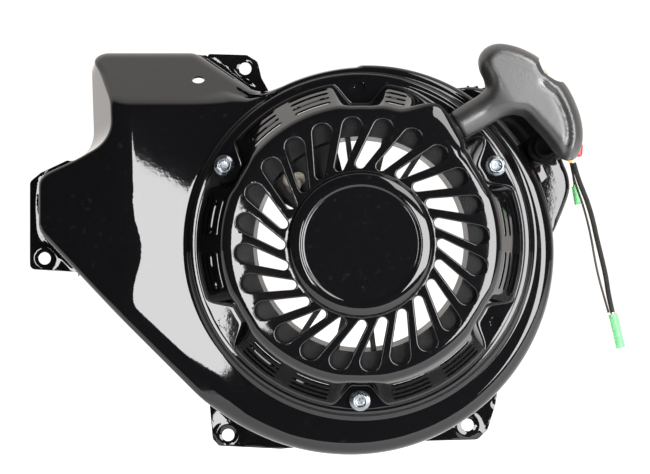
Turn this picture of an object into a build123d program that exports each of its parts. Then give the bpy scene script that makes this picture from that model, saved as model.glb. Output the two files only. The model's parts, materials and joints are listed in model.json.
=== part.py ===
"""Recoil starter on its blower housing, for a single-cylinder petrol engine of about 400 cc.

Row frame: the crankshaft axis is the Y axis, the rear mounting plane is Y = 0, and the front
faces -Y. +X is to the right and +Z is up, both as seen from the front.  A "height" below is a
distance in front of the rear mounting plane.
"""

import os
from math import cos, pi, radians, sin, tan

from build123d import *

os.makedirs("parts", exist_ok=True)

# ---------------------------------------------------------------- driving dimensions (mm)
SHEET = 1.2  # pressed steel sheet

# Blower housing
HOUSING_HEIGHT = 58.0  # front face
SCROLL_R = (115.5, 126.0, 139.0)  # the three arcs of the scroll wall, clockwise from the top
SCROLL_C = ((5.0, -5.0), (-5.5, -5.0), (-5.5, 8.0))
DUCT_LEFT, DUCT_TOP, DUCT_TOP_END = -202.0, 122.5, -104.8
LEFT_CREASE, TOP_CREASE = -142.0, 84.0  # where the front starts to fall away to the back
LEFT_EDGE_HEIGHT, TOP_EDGE_HEIGHT = 32.0, 9.0
HOLLOW_CORNER = (-170.0, 60.5)  # inner corner of the waisted left side, at the rear plane
HOLLOW_LEAN = (19.0, -60.0, 5.0)  # the waisted wall leans this way
FRONT_ROUND = 2.2
COLLAR_R = (105.4, 103.2)  # foot and top of the raised collar that carries the starter
COLLAR_HEIGHT = 64.0
INLET_R = 90.0
LOWER_HOLES = ((-84.0, -123.5), (70.5, -117.0))
UPPER_HOLES = ((-73.0, 113.0), (-202.5, -9.5))
TAB_HOLE_R = 4.0
EAR_HEIGHT = 46.0

# Starter case
BOLT_CIRCLE_R = 96.0
BOSS_ANGLES = [30 + 60 * k for k in range(6)]
BOLT_ANGLES = (30, 150, 270)
POCKET_R = 12.0
BOLT_HOLE_R = 3.3
FLANGE_R = 101.3
FLANGE_TOP = COLLAR_HEIGHT + SHEET
CASE_FOOT_R, CASE_TOP_R = 98.6, 84.0
CASE_HEIGHT = 102.0  # slotted face
CAP_R, CAP_HEIGHT = 41.5, 106.8
SLOT_COUNT = 24
SLOT_OUTER = (70.0, 5.6)  # radius of its place, and its own radius
SLOT_INNER = (47.9, 2.8)
SLOT_SLANT = 11.0  # the inner end is that many degrees ahead
SLOT_PHASE = 4.4
LOUVRE_ROWS = (87.0, 90.4, 93.6, 96.6)
LOUVRE_WIDTH = 1.5
# start angle and span of each louvre: pairs on the rays, and a short one beside the rope's boss
LOUVRE_SPANS = [(ray + side, 15) for ray in (0, 120, 180, 240, 300) for side in (-18, 3)]
LOUVRE_SPANS.append((72.5, 8))

# Rope and handle
ROPE_R = 2.5
ROPE_HEIGHT = 84.0  # plane of the rope
ROPE_ANGLE = 30.7  # direction of the pull, above horizontal
ROPE_EXIT = (56.9, 70.5)
ROPE_LAY_R = 70.0
STEM_R = 9.25
GRIP_HALF = 14.0  # half of the grip's thickness
KNOT_SEAT = 55.0  # along the rope from its exit

# Reel and what turns with it
POST_R, POST_TAIL_R = 10.0, 6.0
RUNNING = 0.05  # radial clearance of each running fit
RIM_FRONT, RIM_BACK, RIM_R, GROOVE_R = 92.0, 75.5, 80.0, 68.0
RIM_INNER_R = (64.6, 62.8)
HUB_R = 44.0
RIB_ANGLES = (57, 77, 97, 237, 257, 277)
PAWL_R = 26.0  # radius of the two pivots
PAWL_ANGLES = (0, 180)

# Stop switch and its leads
SWITCH = (113.4, 59.6)
SWITCH_R = 10.0
SWITCH_TOP = 57.5
SLEEVE_R, WIRE_R = 1.55, 0.7

PROFILE = Plane(origin=(0, 0, 0), x_dir=(1, 0, 0), z_dir=(0, 0, -1))  # x is radius, y is height
PULL = Vector(cos(radians(ROPE_ANGLE)), 0, sin(radians(ROPE_ANGLE)))
# x runs along the pull, y runs across it, up and to the left, and z faces the front
HANDLE = Plane(origin=(ROPE_EXIT[0], -ROPE_HEIGHT, ROPE_EXIT[1]), x_dir=PULL, z_dir=(0, -1, 0))


def level(height):
    """The plane at that height, with X to the right and Z up."""
    return Plane.XZ.offset(height)


def polar(radius, angle):
    return (radius * cos(radians(angle)), radius * sin(radians(angle)))


def across_pull(distance):
    """The plane square to the rope, that far past its exit."""
    return Plane(origin=HANDLE.origin + PULL * distance, x_dir=(0, -1, 0), z_dir=PULL)


def nearest(shapes, *point):
    return shapes.sort_by_distance(Vector(*point))[0]


def save(builder, name):
    builder.part.label = name
    export_step(builder.part, f"parts/{name}.step")


# ================================================================ blower housing
def housing_form(inset):
    """The housing as a block, moved inward by inset: its skin is the form at 0 less the form at SHEET."""
    top, back = HOUSING_HEIGHT - inset, -2 * inset
    left, up = DUCT_LEFT + inset, DUCT_TOP - inset
    (x1, z1), (x2, z2), (x3, z3) = SCROLL_C
    r1, r2, r3 = (radius - inset for radius in SCROLL_R)
    with BuildPart() as top_slope:
        with BuildSketch(Plane.YZ.offset(-260)):
            with BuildLine():
                Polyline(
                    (-top, TOP_CREASE - 0.4 * inset),
                    (inset - TOP_EDGE_HEIGHT, DUCT_TOP),
                    (10, 142),
                    (-120, 142),
                    (-120, TOP_CREASE - 0.4 * inset),
                    close=True,
                )
            make_face()
        extrude(amount=200)
        with BuildSketch(level(-20)):
            with Locations((x1, z1)):
                Circle(r1 - 0.3)
        extrude(amount=150, mode=Mode.SUBTRACT)
    with BuildPart() as form:
        with BuildSketch(level(back)):
            with BuildLine():
                top_arc = CenterArc((x1, z1), r1, 0, 124)
                CenterArc((x2, z2), r2, 270, 90)
                low_arc = CenterArc((x3, z3), r3, 225, 45)
                corner = 8 + inset * tan(radians(22.5))
                end = DUCT_TOP_END - 0.3 * inset
                Polyline(low_arc @ 0, (left, corner), (left, up), (end, up), top_arc @ 1)
            make_face()
        extrude(amount=top - back)
        fillet(form.faces().sort_by(Axis.Y)[0].edges(), FRONT_ROUND - inset)
        add(top_slope.part, mode=Mode.SUBTRACT)
        with BuildSketch(Plane.XY.offset(-60)):
            with BuildLine():
                crease = LEFT_CREASE + 0.3 * inset
                Polyline(
                    (crease, -top),
                    (DUCT_LEFT, inset - LEFT_EDGE_HEIGHT),
                    (-260, inset - 6),
                    (-260, -120),
                    (crease, -120),
                    close=True,
                )
            make_face()
        extrude(amount=220, mode=Mode.SUBTRACT)
        with BuildSketch(level(-3)) as hollow:
            x, z = HOLLOW_CORNER[0] + inset, HOLLOW_CORNER[1] - inset / 2
            with BuildLine():
                low_end = (-260 + inset / 2, 8.9 - 0.87 * inset)
                Polyline(low_end, (x, z), (-173 + inset, 150), (-260, 150), close=True)
            make_face()
            fillet(nearest(hollow.vertices(), x, z, 0), 25 + inset)
        extrude(amount=64, dir=HOLLOW_LEAN, mode=Mode.SUBTRACT)
        fillet(nearest(form.edges(), left, -10, corner), 12)
        fillet(nearest(form.edges(), left, -10, 42.5), 10)
        fillet(nearest(form.edges(), -172 + inset, -3, up), 13)
        with BuildSketch(PROFILE):
            foot, shoulder = (radius - inset for radius in COLLAR_R)
            rise = COLLAR_HEIGHT - inset
            with BuildLine():
                Polyline((0, 50), (foot, 50), (foot, top), (shoulder, rise), (0, rise), close=True)
            make_face()
        revolve(axis=Axis.Y)
    return form


def ear_form(inset):
    """The bulge on the right that carries the stop switch."""
    i, back, low = inset, -2 * inset, 8 * inset
    with BuildPart() as form:
        with BuildSketch(level(back)) as outline:
            with BuildLine():
                Polyline(
                    (116 - i + 16 * low / 34, low),
                    (132 - i, 34),
                    (130.4 - i, 44),
                    (126 - i, 53),
                    (126 - i, 67),
                    (100 - i, 88 - i),
                    (70 - i, 99 - i),
                    (50, 90),
                    (50, low),
                    close=True,
                )
            make_face()
            for corner in ((132 - i, 34), (126 - i, 67), (100 - i, 88 - i)):
                fillet(nearest(outline.vertices(), *corner, 0), 6)
        extrude(amount=EAR_HEIGHT - inset - back)
        with BuildSketch(level(-5)):
            with Locations(SCROLL_C[0]):
                Circle(SCROLL_R[0] - 2 * SHEET)
        extrude(amount=80, mode=Mode.SUBTRACT)
    return form


outer_form, inner_form = housing_form(0), housing_form(SHEET)
outer_ear, inner_ear = ear_form(0), ear_form(SHEET)

with BuildPart() as ear_skin:
    add(outer_ear.part)
    add(inner_ear.part, mode=Mode.SUBTRACT)

with BuildPart() as blower_housing:
    add(outer_form.part)
    add(inner_form.part, mode=Mode.SUBTRACT)
    add(ear_skin.part)
    add(inner_ear.part, mode=Mode.SUBTRACT)
    # rear flange: the rim beside the left lobe and the four tabs
    with BuildSketch(level(0)) as flange:
        with BuildLine():
            Polyline(
                (-212, -16.5),
                (-212, 40),
                (-205, 45.5),
                (-187, 54.5),
                (-160, 40),
                (-160, -20),
                (-174, -18.5),
                close=True,
            )
        make_face()
        with BuildLine():
            Polyline((-101, 122.2), (-74, 121.5), (-65, 117), (-63.5, 107), (-56, 95), (-80, 85), close=True)
        make_face()
        with BuildLine():
            Polyline((-94, -98), (-94, -126), (-90, -130.5), (-40, -132.5), (-40, -110), close=True)
        make_face()
        with BuildLine():
            Polyline((88, -80), (88, -104), (83, -120), (77, -126), (30, -127.5), (40, -90), close=True)
        make_face()
        for corner in ((-212, -16.5), (-212, 40), (-65, 117), (-94, -126), (-90, -130.5), (77, -126)):
            fillet(nearest(flange.vertices(), *corner, 0), 2.5)
    extrude(amount=SHEET)
    with BuildSketch(level(-1)):
        with Locations(*LOWER_HOLES, *UPPER_HOLES):
            Circle(TAB_HOLE_R)
    extrude(amount=3 + SHEET, mode=Mode.SUBTRACT)
    add(inner_form.part, mode=Mode.SUBTRACT)  # the flange stops at the wall
    # the opening in the collar, with its bolt holes
    with BuildSketch(level(HOUSING_HEIGHT)):
        Circle(INLET_R)
        with Locations(*(polar(BOLT_CIRCLE_R, angle) for angle in BOLT_ANGLES)):
            Circle(BOLT_HOLE_R)
    extrude(amount=10, mode=Mode.SUBTRACT)
    # cable-tie hole, round in the plane of the top slope, and the switch's opening
    with BuildSketch(level(0)):
        with Locations((-101.0, 103.0)):
            Ellipse(3.9, 2.4)
        with Locations(SWITCH):
            Circle(SWITCH_R - 3)
    extrude(amount=60, mode=Mode.SUBTRACT)
save(blower_housing, "blower_housing")


# ================================================================ starter case
def case_form(inset):
    """The case as a block, moved inward by inset."""
    low = COLLAR_HEIGHT - 2 * inset
    pocket_r = POCKET_R + inset
    with BuildPart() as form:
        with BuildSketch(PROFILE):
            with BuildLine():
                Polyline(
                    (0, low),
                    (CASE_FOOT_R - 1.3 * inset, low),
                    (CASE_FOOT_R - 1.3 * inset, FLANGE_TOP),
                    (CASE_TOP_R - 1.2 * inset, CASE_HEIGHT - 4 - 0.3 * inset),
                    (CASE_TOP_R - 4.5 - 0.6 * inset, CASE_HEIGHT - inset),
                    (CAP_R - 0.3 * inset, CASE_HEIGHT - inset),
                    (CAP_R - 2.7 - 0.6 * inset, CAP_HEIGHT - inset),
                    (35.5 - 0.4 * inset, CAP_HEIGHT - inset),
                    (34.7 - 0.4 * inset, CAP_HEIGHT - 0.8 - inset),
                    (0, CAP_HEIGHT - 0.8 - inset),
                    close=True,
                )
            make_face()
        revolve(axis=Axis.Y)
        # the boss that the rope comes out of
        with BuildSketch(level(low)):
            with BuildLine():
                half = 12 - inset
                corners = [(-45, -half), (-inset, -half), (-inset, half), (-45, half)]
                places = [HANDLE.from_local_coords(Vector(u, v, 0)) for u, v in corners]
                Polyline(*((place.X, place.Z) for place in places), close=True)
            make_face()
        extrude(amount=CASE_HEIGHT - inset - low)
        # room for the end of the handle in front of the boss
        with BuildSketch(HANDLE.offset(-STEM_R - 3 - inset)):
            with Locations((20 - inset, 0)):
                Rectangle(40, 25 + 2 * inset)
        extrude(amount=50, mode=Mode.SUBTRACT)
        # pockets for the bolts
        with BuildSketch(level(low if inset else FLANGE_TOP)):
            with Locations(*(polar(BOLT_CIRCLE_R, angle) for angle in BOSS_ANGLES)):
                Circle(pocket_r)
        extrude(amount=60, mode=Mode.SUBTRACT)
    return form


with BuildPart() as starter_case:
    add(case_form(0).part)
    with BuildSketch(level(COLLAR_HEIGHT)):
        Circle(FLANGE_R)
    extrude(amount=SHEET)
    add(case_form(SHEET).part, mode=Mode.SUBTRACT)
    # slots in the face
    with BuildSketch(level(CASE_HEIGHT - 8)):
        for k in range(SLOT_COUNT):
            angle = SLOT_PHASE + k * 360 / SLOT_COUNT
            (far, far_r), (near, near_r) = SLOT_OUTER, SLOT_INNER
            with BuildSketch(mode=Mode.PRIVATE) as slot:
                with Locations(polar(far, angle)):
                    Circle(far_r)
                with Locations(polar(near, angle + SLOT_SLANT)):
                    Circle(near_r)
                make_hull()
            add(slot.sketch)
    extrude(amount=20, mode=Mode.SUBTRACT)
    # louvres in the conical band
    with BuildSketch(level(FLANGE_TOP + 1)):
        for start, span in LOUVRE_SPANS:
            for row in LOUVRE_ROWS:
                SlotArc(CenterArc((0, 0), row, start, span), LOUVRE_WIDTH)
    extrude(amount=40, mode=Mode.SUBTRACT)
    # holes at the bottom of the pockets, and the rope's outlet
    with BuildSketch(level(COLLAR_HEIGHT - 1)):
        with Locations(*(polar(BOLT_CIRCLE_R, angle) for angle in BOSS_ANGLES)):
            Circle(BOLT_HOLE_R)
    extrude(amount=3, mode=Mode.SUBTRACT)
    with BuildSketch(across_pull(-6)):
        Circle(8)
    extrude(amount=10, mode=Mode.SUBTRACT)
save(starter_case, "starter_case")

with BuildPart() as starter_bolts:
    with BuildSketch(level(FLANGE_TOP)):
        with Locations(*(polar(BOLT_CIRCLE_R, angle) for angle in BOLT_ANGLES)):
            Circle(6.3)
    extrude(amount=1.4)
    with BuildSketch(level(FLANGE_TOP + 1.4)):
        for angle in BOLT_ANGLES:
            with Locations(Location(Vector(*polar(BOLT_CIRCLE_R, angle)), (0, 0, angle))):
                RegularPolygon(4.6, 6)
    extrude(amount=4)
    with BuildSketch(level(COLLAR_HEIGHT - 9)):
        with Locations(*(polar(BOLT_CIRCLE_R, angle) for angle in BOLT_ANGLES)):
            Circle(2.9)
    extrude(amount=9 + SHEET)
save(starter_bolts, "starter_bolts")

with BuildPart() as weld_nuts:
    with BuildSketch(level(COLLAR_HEIGHT - SHEET - 5)):
        with Locations(*(polar(BOLT_CIRCLE_R, angle) for angle in BOLT_ANGLES)):
            RegularPolygon(5.0, 6)
            Circle(3.0, mode=Mode.SUBTRACT)
    extrude(amount=5)
save(weld_nuts, "weld_nuts")

# ================================================================ rope, its guide and the handle
with BuildPart() as rope_guide:
    with BuildSketch(across_pull(-4)):
        Circle(7.9)
    extrude(amount=4)
    with BuildSketch(across_pull(0)):
        Circle(9.2)
    extrude(amount=1.2)
    with BuildSketch(across_pull(-5)):
        Circle(3.8)
    extrude(amount=8, mode=Mode.SUBTRACT)
save(rope_guide, "rope_guide")

ROPE_START = (34.0, 67.9)  # where the rope is clear of the winding
KNOT_START = HANDLE.origin + PULL * KNOT_SEAT
with BuildPart() as pull_rope:
    with BuildLine() as rope_path:
        FilletPolyline(
            (ROPE_START[0], -ROPE_HEIGHT, ROPE_START[1]),
            HANDLE.origin - PULL * 7,
            KNOT_START,
            radius=12,
        )
    with BuildSketch(Plane(origin=rope_path.line @ 0, z_dir=rope_path.line % 0)):
        Circle(ROPE_R)
    sweep()
save(pull_rope, "pull_rope")

# outline of the grip, along and across the pull
GRIP = (
    (29.5, 14),
    (30.2, 24),
    (38, 31.6),
    (48, 30.5),
    (58, 22),
    (66, 9),
    (70.5, -9),
    (69.5, -22),
    (66.5, -38),
    (59.5, -50),
    (50.5, -53.4),
    (44.2, -47),
    (42.6, -34),
    (39, -20),
    (33.5, -11.5),
    (26, -STEM_R),
    (26, STEM_R),
)
with BuildPart() as handle_grip:
    with BuildSketch(HANDLE.offset(-GRIP_HALF)):
        with BuildLine():
            Spline(*GRIP[:-1])
            Polyline(GRIP[-2], GRIP[-1], GRIP[0])
        make_face()
    extrude(amount=2 * GRIP_HALF)
    chamfer(handle_grip.faces().filter_by(Axis.Y).edges(), 4.5)
    with BuildSketch(across_pull(1.6)):
        Circle(STEM_R)
    extrude(amount=32)
    with BuildSketch(across_pull(0)):
        Circle(ROPE_R + 0.4)
    extrude(amount=90, mode=Mode.SUBTRACT)
    with BuildSketch(across_pull(KNOT_SEAT)):
        RectangleRounded(17, 19, 5)
    extrude(amount=40, mode=Mode.SUBTRACT)
save(handle_grip, "handle_grip")

with BuildPart() as handle_washer:
    with BuildSketch(across_pull(KNOT_SEAT)):
        Circle(7.0)
        Circle(ROPE_R + 0.1, mode=Mode.SUBTRACT)
    extrude(amount=1.2)
save(handle_washer, "handle_washer")

with BuildPart() as handle_rope_knot:
    with BuildSketch(across_pull(KNOT_SEAT + 1.2)):
        Circle(5.6)
    extrude(amount=9)
    fillet(handle_rope_knot.edges(), 3.5)
save(handle_rope_knot, "handle_rope_knot")

# ================================================================ centre post and its screw
with BuildPart() as centre_post:
    with BuildSketch(PROFILE):
        with BuildLine():
            Polyline(
                (0, 64.4),
                (POST_TAIL_R, 64.4),
                (POST_TAIL_R, 70.2),
                (POST_R, 70.2),
                (POST_R, 103.0),
                (15, 103.0),
                (15, CAP_HEIGHT - 0.8 - SHEET),
                (0, CAP_HEIGHT - 0.8 - SHEET),
                close=True,
            )
        make_face()
    revolve(axis=Axis.Y)
    with BuildSketch(level(60)):
        Circle(2.6)
    extrude(amount=22, mode=Mode.SUBTRACT)
save(centre_post, "centre_post")

with BuildPart() as centre_screw:
    with BuildSketch(level(59)):
        RegularPolygon(5.8, 6)
    extrude(amount=4.2)
    with BuildSketch(level(63.2)):
        Circle(11)
    extrude(amount=1.2)
    with BuildSketch(level(64.4)):
        Circle(2.5)
    extrude(amount=15)
save(centre_screw, "centre_screw")

with BuildPart() as friction_spring:
    with BuildSketch(level(64.7)):
        Circle(9.5)
        Circle(6.6, mode=Mode.SUBTRACT)
    extrude(amount=1.0)
save(friction_spring, "friction_spring")

# ================================================================ reel and recoil spring
with BuildPart() as reel:
    with BuildSketch(PROFILE):
        with BuildLine():
            Polyline(
                (RIM_INNER_R[1], RIM_BACK),
                (RIM_R, RIM_BACK),
                (RIM_R, RIM_BACK + 2),
                (GROOVE_R, RIM_BACK + 3.8),
                (GROOVE_R, RIM_FRONT - 3.3),
                (RIM_R, RIM_FRONT - 1.6),
                (RIM_R, RIM_FRONT),
                (RIM_INNER_R[0], RIM_FRONT),
                close=True,
            )
        make_face()
        with BuildLine():
            bore = POST_R + RUNNING
            Polyline(
                (bore, 70.4),
                (15, 70.4),
                (15, 80),
                (HUB_R - 2.5, 80),
                (HUB_R - 2.5, 76),
                (HUB_R, 76),
                (HUB_R, 99.4),
                (HUB_R - 2.4, 99.4),
                (HUB_R - 2.4, 83),
                (bore, 83),
                close=True,
            )
        make_face()
    revolve(axis=Axis.Y)
    for angle in RIB_ANGLES:
        with BuildSketch(level(78)) as rib:
            with Locations(Location(Vector(*polar(54, angle)), (0, 0, angle))):
                Rectangle(23, 3.2)
        extrude(amount=10)
    # the web that the rope's inner end is tied to
    with BuildSketch(level(78)):
        with BuildLine():
            outside = CenterArc((0, 0), RIM_INNER_R[1] + 0.9, 104, 48)
            inside = CenterArc((0, 0), HUB_R - 1, 104, 48)
            Line(outside @ 0, inside @ 0)
            Line(outside @ 1, inside @ 1)
        make_face()
    extrude(amount=3)
    # pins that the ratchets turn on
    with BuildSketch(level(74)):
        with Locations(*(polar(PAWL_R, angle) for angle in PAWL_ANGLES)):
            Circle(6)
    extrude(amount=6)
    with BuildSketch(level(67.8)):
        with Locations(*(polar(PAWL_R, angle) for angle in PAWL_ANGLES)):
            Circle(3)
    extrude(amount=6.2)
save(reel, "reel")

with BuildPart() as rope_winding:
    with BuildSketch(PROFILE):
        with Locations(((GROOVE_R + 0.1 + ROPE_LAY_R + ROPE_R) / 2, ROPE_HEIGHT)):
            RectangleRounded(ROPE_LAY_R + ROPE_R - GROOVE_R - 0.1, 9.2, 2)
    revolve(axis=Axis.Y)
save(rope_winding, "rope_winding")

with BuildPart() as reel_rope_knot:
    with BuildSketch(level(81)):
        with Locations(polar(55.5, 130)):
            Circle(5.4)
    extrude(amount=8)
    fillet(reel_rope_knot.edges(), 3)
save(reel_rope_knot, "reel_rope_knot")

SPRING_START, SPRING_TURNS, SPRING_PITCH = 13.0, 7, 3.6
with BuildPart() as recoil_spring:
    with BuildSketch(level(84.5)):
        with BuildLine() as coil:
            radius, centre = SPRING_START, 0.0
            for half in range(2 * SPRING_TURNS):
                side = 1 if half % 2 == 0 else -1
                CenterArc((centre, 0), radius, 0 if side == 1 else 180, 180)
                radius += SPRING_PITCH / 2
                centre += side * SPRING_PITCH / 2
        trace(coil.line, 0.9)
    extrude(amount=12)
save(recoil_spring, "recoil_spring")

# ================================================================ ratchets and their guide
for k, angle in enumerate(PAWL_ANGLES):
    with BuildPart() as ratchet:
        with BuildSketch(level(68.6)):
            with BuildSketch(mode=Mode.PRIVATE) as blade:
                with Locations(polar(PAWL_R, angle)):
                    Circle(6)
                with Locations(polar(PAWL_R + 0.5, angle + 48)):
                    Circle(3.2)
                make_hull()
            add(blade.sketch)
            with Locations(polar(PAWL_R, angle)):
                Circle(3 + RUNNING, mode=Mode.SUBTRACT)
        extrude(amount=5)
    save(ratchet, f"ratchet_{k + 1}")

with BuildPart() as ratchet_guide:
    with BuildSketch(level(66)):
        Circle(18.5)
        Circle(POST_TAIL_R + RUNNING, mode=Mode.SUBTRACT)
    extrude(amount=1.5)
    with BuildSketch(level(67.5)):
        with PolarLocations(17, 2, start_angle=100):
            Rectangle(1.5, 8)
    extrude(amount=4.5)
save(ratchet_guide, "ratchet_guide")

# ================================================================ stop switch
SWITCH_BACK = 30.0
with BuildPart() as switch_body:
    with BuildSketch(level(EAR_HEIGHT)):
        with Locations(SWITCH):
            Circle(SWITCH_R)
    extrude(amount=SWITCH_TOP - EAR_HEIGHT)
    fillet(switch_body.edges().sort_by(Axis.Y)[0], 1.5)
    with BuildSketch(level(SWITCH_BACK)):
        with Locations(SWITCH):
            Circle(SWITCH_R - 3.2)
    extrude(amount=EAR_HEIGHT - SWITCH_BACK)
save(switch_body, "switch_body")

with BuildPart() as switch_nut:
    with BuildSketch(level(EAR_HEIGHT - SHEET - 3)):
        with Locations(SWITCH):
            RegularPolygon(11, 6)
            Circle(SWITCH_R - 3.1, mode=Mode.SUBTRACT)
    extrude(amount=3)
save(switch_nut, "switch_nut")

LEVER_ANGLE, LEVER_LENGTH = -5.0, 23.6
with BuildPart() as switch_knob:
    with BuildSketch(level(SWITCH_TOP + 0.4)):
        with Locations(SWITCH):
            Circle(6.5)
    extrude(amount=7)
    lever = Location(Vector(*SWITCH), (0, 0, LEVER_ANGLE))
    with BuildSketch(level(SWITCH_TOP + 2)):
        with Locations(lever * Location((LEVER_LENGTH / 2, 0))):
            Rectangle(LEVER_LENGTH - 4, 4)
        with Locations(lever * Location((LEVER_LENGTH - 2.6, 0))):
            RectangleRounded(5, 9, 1.5)
    extrude(amount=4.5)
save(switch_knob, "switch_knob")

# ================================================================ leads
LEAD_HEIGHT = 51.0
# places are X, Z and the height
SLEEVE_ROUTE = (
    (132.7, 50.2, 51.0),
    (134.4, 43.8, 51.2),
    (137.2, 36.0, 51.0),
    (141.3, 26.4, 50.4),
    (144.8, 15.0, 49.6),
    (147.4, 3.2, 48.8),
    (150.5, -8.8, 48.2),
    (153.3, -20.8, 47.8),
    (154.9, -32.4, 47.6),
    (157.3, -42.6, 47.6),
)
WIRE_ROUTE = (
    (131.2, 50.6, 47.4),
    (132.6, 43.4, 47.2),
    (135.0, 35.4, 47.0),
    (138.6, 25.8, 46.6),
    (141.9, 14.4, 46.0),
    (144.6, 2.4, 45.6),
    (146.6, -9.8, 45.4),
    (149.3, -22.0, 45.2),
    (152.6, -33.6, 45.0),
    (155.2, -42.8, 45.2),
)
SHORT_ROUTE = (
    (121.8, 52.4, 49.5),
    (126.4, 54.4, 47.6),
    (130.8, 53.6, 43.0),
    (133.6, 48.6, 39.0),
    (134.2, 42.6, 36.6),
    (135.2, 37.2, 36.0),
)


def lead(name, route, radius):
    """A lead as straight runs joined by arcs, each as large as its two runs allow."""
    points = [Vector(x, -height, z) for x, z, height in route]
    runs = [after - before for before, after in zip(points, points[1:])]
    radii = []
    for before, after in zip(runs, runs[1:]):
        turn = radians(before.get_angle(after))
        radii.append(0.45 * min(before.length, after.length) / tan(turn / 2))
    with BuildPart() as tube:
        with BuildLine() as path:
            FilletPolyline(*points, radius=radii)
        with BuildSketch(Plane(origin=path.line @ 0, z_dir=path.line % 0)):
            Circle(radius)
        sweep()
    save(tube, name)
    length = path.wires()[0].length
    print(name, "length", round(length, 1), "radii", [round(r) for r in radii])
    print("  volume over section times length", round(tube.part.volume / (pi * radius**2 * length), 3))
    return points


sleeve_points = lead("lead_sleeve", SLEEVE_ROUTE, SLEEVE_R)
lead("lead_wire", WIRE_ROUTE, WIRE_R)
short_points = lead("short_lead", SHORT_ROUTE, WIRE_R)


def rod(name, start, direction, length, radius, bore=0.0):
    with BuildPart() as made:
        with BuildSketch(Plane(origin=start, z_dir=direction)):
            Circle(radius)
            if bore:
                Circle(bore, mode=Mode.SUBTRACT)
        extrude(amount=length)
    save(made, name)


# the coloured wire between the switch and the braided sleeve
wire_out = Vector(SWITCH[0] + SWITCH_R - 0.2, -LEAD_HEIGHT, SWITCH[1] - 4)
wire_run = sleeve_points[0] - wire_out
rod("yellow_wire", wire_out, wire_run, wire_run.length - 1.2, 0.9)

# bullet connectors in their soft sleeves
for name, points, length, radius, sleeve_length, sleeve_r in (
    ("", sleeve_points, 16.5, 1.35, 21.5, 2.9),
    ("short_", short_points, 9.5, 1.0, 11.5, 2.1),
):
    along = (points[-1] - points[-2]).normalized()
    rod(f"{name}bullet_terminal", points[-1], along, length, radius)
    rod(f"{name}connector_sleeve", points[-1] + along, along, sleeve_length, sleeve_r, radius + 0.4)
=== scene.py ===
"""Looks of the recoil starter on its blower housing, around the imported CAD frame.

Blender works in metres.  Sizes below are in millimetres where they are named so, and MM turns
them into metres.  A "height" is a distance in front of the rear mounting plane, towards -Y.
"""

import json
from math import atan2, cos, degrees, hypot, pi, radians, sin, sqrt

import bmesh
import bpy
import numpy as np
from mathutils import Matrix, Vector
from mathutils.geometry import delaunay_2d_cdt


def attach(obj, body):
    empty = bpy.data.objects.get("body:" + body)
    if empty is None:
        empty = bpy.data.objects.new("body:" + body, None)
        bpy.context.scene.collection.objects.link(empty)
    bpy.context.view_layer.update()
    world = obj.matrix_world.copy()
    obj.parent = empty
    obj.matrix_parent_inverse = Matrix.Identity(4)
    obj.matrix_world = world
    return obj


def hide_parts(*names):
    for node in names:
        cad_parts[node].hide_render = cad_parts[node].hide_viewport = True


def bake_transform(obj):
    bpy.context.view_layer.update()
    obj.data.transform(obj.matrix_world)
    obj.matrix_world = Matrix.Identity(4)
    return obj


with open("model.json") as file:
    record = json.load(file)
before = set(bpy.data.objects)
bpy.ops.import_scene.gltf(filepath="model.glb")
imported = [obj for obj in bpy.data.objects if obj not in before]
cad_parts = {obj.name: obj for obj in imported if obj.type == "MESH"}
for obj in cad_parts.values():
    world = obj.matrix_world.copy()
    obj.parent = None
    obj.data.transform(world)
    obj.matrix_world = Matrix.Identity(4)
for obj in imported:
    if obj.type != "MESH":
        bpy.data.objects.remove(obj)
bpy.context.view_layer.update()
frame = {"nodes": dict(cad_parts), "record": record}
nodes = frame["nodes"]
scene = bpy.context.scene
MM = 0.001

# ------- camera
EYE_DISTANCE = 1.265  # from the rear mounting plane
EYE_X, EYE_Z = -0.0215, 0.0043
FRAME_WIDTH_AT_BOLTS = 0.3985
BOLT_PLANE = 0.065
SENSOR = 36.0

camera_data = bpy.data.cameras.new("camera")
camera_data.sensor_width = SENSOR
camera_data.lens = SENSOR * (EYE_DISTANCE - BOLT_PLANE) / FRAME_WIDTH_AT_BOLTS
camera = bpy.data.objects.new("camera", camera_data)
camera.location = (EYE_X, -EYE_DISTANCE, EYE_Z)
camera.rotation_euler = (pi / 2, 0, 0)
scene.collection.objects.link(camera)
scene.camera = camera


# ------- node material helpers
def new_node(tree, kind, **inputs):
    """A node with its inputs set, or linked where the value is another node's output."""
    made = tree.nodes.new(kind)
    for name, value in inputs.items():
        socket = made.inputs[name.replace("_", " ")]
        if hasattr(value, "is_linked"):
            tree.links.new(value, socket)
        else:
            socket.default_value = value
    return made


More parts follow.
